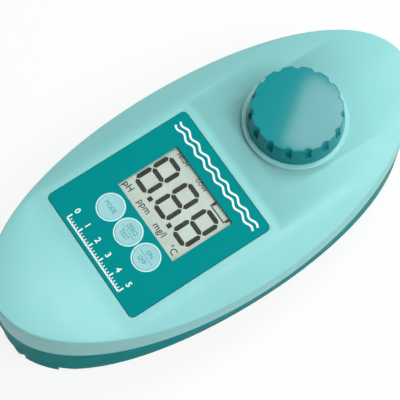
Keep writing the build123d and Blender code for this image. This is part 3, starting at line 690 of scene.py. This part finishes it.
class TESTER_OT_keys(bpy.types.Operator):
    """Three press keys with their captions"""

    bl_idname = "tester.keys"
    bl_label = "Keys"

    def execute(self, context):
        sizes = context.scene.tester_sizes
        ink = sizes.print_thickness
        for node, words in KEY_WORDS.items():
            low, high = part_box(node)
            centre = ((low.x + high.x) / 2, (low.y + high.y) / 2)
            points, faces = turned(key_profile(low, high, sizes), centre, KEY_SEGMENTS)
            piece = mesh_object(node + "_cap", points, faces)
            settle(piece, node, material_for("key_plastic"), node)
            top = high.z - sizes.key_dish
            for index, word in enumerate(words):
                rise = 0.0 if len(words) == 1 else (0.5 - index) * 2 * sizes.caption_height
                where = (centre[0] + rise, centre[1])
                name = node + "_caption_" + str(index)
                height = sizes.caption_height
                text = lettering(name, word, height, where, top, ink, squeeze=CAPTION_SQUEEZE)
                settle(text, node, material_for("teal_ink"))
            if len(words) > 1:
                half = sizes.caption_height * KEY_RULE_REACH
                line = lay_out([(-half, 0), (half, 0)], centre)
                rule = stroke_object(node + "_rule", [stroke(line, KEY_RULE, top, top + ink)])
                settle(rule, node, material_for("teal_ink"))
        return {"FINISHED"}


def key_profile(low, high, sizes):
    """A key's profile (radius, height): flange, barrel, rounded rim and a shallow flat dish."""
    radius = sizes.key_radius
    rim = sizes.key_rim
    flange = (high.y - low.y) / 2
    dish_edge = radius - 3 * rim
    profile = [(0.0, low.z), (flange, low.z), (flange, low.z + 2 * rim), (radius, low.z + 2 * rim)]
    profile += arc((radius - rim, high.z - rim), rim, 0, 90, 6)
    profile += [(dish_edge + rim, high.z), (dish_edge, high.z - sizes.key_dish * 0.7)]
    profile += [(dish_edge - rim, high.z - sizes.key_dish), (0.0, high.z - sizes.key_dish)]
    return profile


class TESTER_OT_print(bpy.types.Operator):
    """Print on the film: wave lines, a plain numbered scale and a dark border"""

    bl_idname = "tester.print"
    bl_label = "Print"

    def execute(self, context):
        thickness = context.scene.tester_sizes.print_thickness
        low_z = LABEL_HIGH.z
        high_z = low_z + thickness
        settle_ink(stroke_object("wave_lines", wave_strokes(low_z, high_z)))
        base_x, start_y = on_label(SCALE_ENDS[0], SCALE_UP)
        end_y = on_label(SCALE_ENDS[1], SCALE_UP)[1]
        marks = [stroke([(base_x, start_y), (base_x, end_y)], SCALE_STROKE, low_z, high_z)]
        for step, y in enumerate(np.linspace(start_y, end_y, SCALE_PARTS * SCALE_STEPS + 1)):
            long_mark = step % SCALE_PARTS == 0
            top = base_x + (SCALE_LONG if long_mark else SCALE_SHORT)
            width = SCALE_STROKE * (LONG_MARK_SHARE if long_mark else SHORT_MARK_SHARE)
            marks.append(stroke([(base_x, y), (top, y)], width, low_z, high_z))
        border = stroke(film_border(), BORDER_STROKE, low_z, high_z, closed=True)
        piece = stroke_object("film_border", [border])
        settle(piece, "housing", material_for("dark_ink"))
        settle_ink(stroke_object("scale_marks", marks))
        for number, y in enumerate(np.linspace(start_y, end_y, SCALE_STEPS + 1)):
            where = (base_x + SCALE_LONG + SCALE_NUMBER, y)
            name = "scale_number_" + str(number)
            words = str(number)
            text = lettering(name, words, SCALE_NUMBER, where, low_z, thickness, NUMBER_WEIGHT)
            settle_ink(text)
        return {"FINISHED"}


def settle_ink(piece):
    """Gives a piece of white print its finish and its place."""
    settle(piece, "housing", material_for("white_ink"))


def wave_strokes(low_z, high_z):
    """Parallel sine lines across the film's head end."""
    share = np.linspace(WAVE_ENDS[0], WAVE_ENDS[1], WAVE_POINTS)
    y = on_label(share, 0)[1]
    swing = WAVE_SWING * np.sin(2 * np.pi * WAVE_COUNT * (share - WAVE_ENDS[0]))
    strokes = []
    for row in range(WAVE_ROWS):
        x = on_label(0, WAVE_CENTRE + (row - (WAVE_ROWS - 1) / 2) * WAVE_PITCH)[0]
        strokes.append(stroke(np.column_stack([x + swing, y]), WAVE_STROKE, low_z, high_z))
    return strokes


def film_border():
    """Closed path just inside the film's edge: four straight sides joined by quarter circles."""
    radius = FILM_CORNER - BORDER_STROKE / 2
    quarter = np.radians(np.linspace(0, 90, 9))
    low, high = LABEL_LOW, LABEL_HIGH
    corners = ((high.x, high.y, 0), (low.x, high.y, 90), (low.x, low.y, 180), (high.x, low.y, 270))
    path = []
    for x, y, start in corners:
        middle_x = x - math.copysign(FILM_CORNER, x - (low.x + high.x) / 2)
        middle_y = y - math.copysign(FILM_CORNER, y)
        turn = quarter + math.radians(start)
        places = [middle_x + radius * np.cos(turn), middle_y + radius * np.sin(turn)]
        path.append(np.column_stack(places))
    return np.concatenate(path)


class TESTER_OT_display(bpy.types.Operator):
    """Darkened segments, words and signs of the display"""

    bl_idname = "tester.display"
    bl_label = "Display"

    def execute(self, context):
        sizes = context.scene.tester_sizes
        low_z = DISPLAY_TOP
        high_z = low_z + sizes.print_thickness
        shapes = []
        for across in DIGIT_ACROSS:
            centre = glass_point(across, DIGIT_UP)
            shapes += [lay_out(shape, centre) for shape in digit_shapes(sizes)]
        half = sizes.digit_stroke / 2
        square = [(-half, -half), (half, -half), (half, half), (-half, half)]
        for across in POINT_ACROSS:
            shapes.append(lay_out(square, glass_point(across, POINT_UP)))
        pieces = [plate_object("display_digits", shapes, low_z, high_z)]
        pieces.append(stroke_object("battery_sign", battery_strokes(low_z, high_z)))
        for name, words, height, across, up, squeeze in DISPLAY_WORDS:
            where = glass_point(across, up)
            size = (sizes.print_thickness, WORD_WEIGHT, squeeze)
            pieces.append(lettering(name, words, height * MM, where, low_z, *size))
        for piece in pieces:
            settle(piece, "housing", material_for("display_ink"))
        return {"FINISHED"}


def glass_point(across, up):
    """Point of the display below a place on the film, as the camera sees it."""
    x, y = on_label(across, up)
    return x + SIGHT_SHIFT[0], y + SIGHT_SHIFT[1]


def digit_shapes(sizes):
    """Seven six-cornered segments of one digit, around its middle."""
    width, height, line = sizes.digit_width, sizes.digit_height, sizes.digit_stroke
    gap = line * SEGMENT_GAP
    half = line / 2
    level_reach = (width - line) / 2 - gap
    upright_reach = (height - line) / 4 - gap
    level = np.array([(-1, 0), (-1, -1), (1, -1), (1, 0), (1, 1), (-1, 1)], float)
    inset = np.array([0, 1, -1, 0, -1, 1]) * half
    flat = np.column_stack([level[:, 0] * level_reach + inset, level[:, 1] * half])
    upright = np.column_stack([-level[:, 1] * half, level[:, 0] * upright_reach + inset])
    shapes = [flat + (0, step * (height - line) / 2) for step in (-1, 0, 1)]
    for side in (-1, 1):
        for step in (-1, 1):
            shapes.append(upright + (side * (width - line) / 2, step * (height - line) / 4))
    return shapes


def battery_strokes(low_z, high_z):
    """A battery's outline, its pole and one short filled bar."""
    length, width, line = BATTERY_HALF_LENGTH, BATTERY_HALF_WIDTH, BATTERY_LINE
    outer, inner, pole = width + line / 2, width - line, length + line
    bar = line - length
    lines = (
        (-length, -width, length, -width, line),
        (length, width, -length, width, line),
        (-length, -outer, -length, outer, line),
        (length, -outer, length, outer, line),
        (pole, -width / 2, pole, width / 2, line),
        (bar, -inner, bar, inner, BATTERY_BAR),
    )
    centre = glass_point(BATTERY_ACROSS, BATTERY_UP)
    strokes = []
    for left, low, right, high, thick in lines:
        path = lay_out([(left, low), (right, high)], centre)
        strokes.append(stroke(path, thick, low_z, high_z))
    return strokes


class TESTER_OT_stage(bpy.types.Operator):
    """Floor, lamps, world and camera"""

    bl_idname = "tester.stage"
    bl_label = "Stage"

    def execute(self, context):
        scene = context.scene
        make_floor()
        make_world(scene)
        make_lamps(scene)
        make_camera(scene)
        scene.view_settings.view_transform = "Standard"
        return {"FINISHED"}


def seen_share(nodes, links):
    """1 for camera, glossy and transmission rays and 0 for the rest."""
    path = nodes.new("ShaderNodeLightPath")
    first = nodes.new("ShaderNodeMath")
    first.operation = "MAXIMUM"
    second = nodes.new("ShaderNodeMath")
    second.operation = "MAXIMUM"
    links.new(path.outputs["Is Camera Ray"], first.inputs[0])
    links.new(path.outputs["Is Glossy Ray"], first.inputs[1])
    links.new(first.outputs["Value"], second.inputs[0])
    links.new(path.outputs["Is Transmission Ray"], second.inputs[1])
    return second.outputs["Value"]


def make_floor():
    """Plain pale floor: white where it is seen, with the object's shadow kept."""
    corners = np.array([(-1, -1, 0), (1, -1, 0), (1, 1, 0), (-1, 1, 0)], float) * FLOOR_REACH
    floor = mesh_object("floor", corners, np.array([[0, 1, 2, 3]]))
    material, nodes, links, shader = node_graph("floor_white")
    shader.inputs["Base Color"].default_value = FLOOR_COLOUR
    shader.inputs["Roughness"].default_value = 0.9
    shader.inputs["Specular IOR Level"].default_value = 0.0
    glow = nodes.new("ShaderNodeEmission")
    mix = nodes.new("ShaderNodeMixShader")
    part = nodes.new("ShaderNodeMath")
    part.operation = "MULTIPLY"
    part.inputs[1].default_value = FLOOR_GLOW
    links.new(seen_share(nodes, links), part.inputs[0])
    links.new(part.outputs["Value"], mix.inputs["Fac"])
    links.new(shader.outputs["BSDF"], mix.inputs[1])
    links.new(glow.outputs["Emission"], mix.inputs[2])
    links.new(mix.outputs["Shader"], nodes["Material Output"].inputs["Surface"])
    floor.data.materials.append(material)


def make_world(scene):
    """Even pale surroundings, white where they are seen."""
    world = bpy.data.worlds.new("studio")
    scene.world = world
    world.use_nodes = True
    nodes, links = world.node_tree.nodes, world.node_tree.links
    background = nodes["Background"]
    background.inputs["Color"].default_value = (1, 1, 1, 1)
    strength = nodes.new("ShaderNodeMapRange")
    strength.inputs["To Min"].default_value = WORLD_FILL
    strength.inputs["To Max"].default_value = 1.0
    links.new(seen_share(nodes, links), strength.inputs["Value"])
    links.new(strength.outputs["Result"], background.inputs["Strength"])


def make_lamps(scene):
    """Square soft lamps, each turned to the tester with its sides level."""
    level = Vector((math.cos(LAMP_AZIMUTH), -math.sin(LAMP_AZIMUTH), 0))
    for name, place, size, power in LAMPS:
        data = bpy.data.lights.new(name, "AREA")
        data.shape = "SQUARE"
        data.size = size
        data.energy = power
        lamp = bpy.data.objects.new(name, data)
        scene.collection.objects.link(lamp)
        back = (Vector(place) - LAMP_TARGET).normalized()
        right = (level - back * level.dot(back)).normalized()
        turn = Matrix((right, back.cross(right), back)).transposed().to_4x4()
        lamp.matrix_world = Matrix.Translation(place) @ turn


def make_camera(scene):
    """The photo's camera: azimuth and elevation around the aim, a small roll, and a small shift."""
    elevation, azimuth, roll = CAMERA_ELEVATION, CAMERA_AZIMUTH, CAMERA_ROLL
    right = Vector((math.cos(azimuth), -math.sin(azimuth), 0))
    level = Vector((-math.sin(azimuth), -math.cos(azimuth), 0))
    back = math.cos(elevation) * level + Vector((0, 0, math.sin(elevation)))
    up = back.cross(right)
    turned_right = math.cos(roll) * right + math.sin(roll) * up
    turned_up = -math.sin(roll) * right + math.cos(roll) * up
    data = bpy.data.cameras.new("photo_camera")
    data.sensor_width = SENSOR_WIDTH
    data.lens = CAMERA_FOCAL_PIXELS / IMAGE_SIZE * data.sensor_width
    data.shift_x = 0.5 - CAMERA_CENTRE_PIXELS[0] / IMAGE_SIZE
    data.shift_y = CAMERA_CENTRE_PIXELS[1] / IMAGE_SIZE - 0.5
    camera = bpy.data.objects.new("photo_camera", data)
    scene.collection.objects.link(camera)
    turn = Matrix((turned_right, turned_up, back)).transposed().to_4x4()
    camera.matrix_world = Matrix.Translation(CAMERA_AIM + back * CAMERA_DISTANCE) @ turn
    scene.camera = camera


class TESTER_PT_panel(bpy.types.Panel):
    """Sidebar panel with the tester's colours and sizes and a button for each step that makes it"""

    bl_label = "Pool Water Tester"
    bl_idname = "TESTER_PT_panel"
    bl_space_type = "VIEW_3D"
    bl_region_type = "UI"
    bl_category = "Tester"

    def draw(self, context):
        for group in (context.scene.tester_colours, context.scene.tester_sizes):
            for key in group.bl_rna.properties.keys():
                if key not in ("rna_type", "name"):
                    self.layout.prop(group, key)
        for operator in OPERATORS:
            self.layout.operator(operator.bl_idname)


OPERATORS = (
    TESTER_OT_finishes,
    TESTER_OT_shells,
    TESTER_OT_cap,
    TESTER_OT_keys,
    TESTER_OT_print,
    TESTER_OT_display,
    TESTER_OT_stage,
)
CLASSES = (TesterColours, TesterSizes) + OPERATORS + (TESTER_PT_panel,)


def register():
    """Registers every class and hangs both property groups on the scene."""
    for item in CLASSES:
        bpy.utils.register_class(item)
    bpy.types.Scene.tester_colours = bpy.props.PointerProperty(type=TesterColours)
    bpy.types.Scene.tester_sizes = bpy.props.PointerProperty(type=TesterSizes)


def unregister():
    """Takes both property groups and every class away again."""
    del bpy.types.Scene.tester_sizes
    del bpy.types.Scene.tester_colours
    for item in reversed(CLASSES):
        bpy.utils.unregister_class(item)


def main():
    """Registers the add-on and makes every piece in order."""
    register()
    bpy.ops.tester.finishes()
    bpy.ops.tester.shells()
    bpy.ops.tester.cap()
    bpy.ops.tester.keys()
    bpy.ops.tester.print()
    bpy.ops.tester.display()
    bpy.ops.tester.stage()


if __name__ == "__main__":
    main()
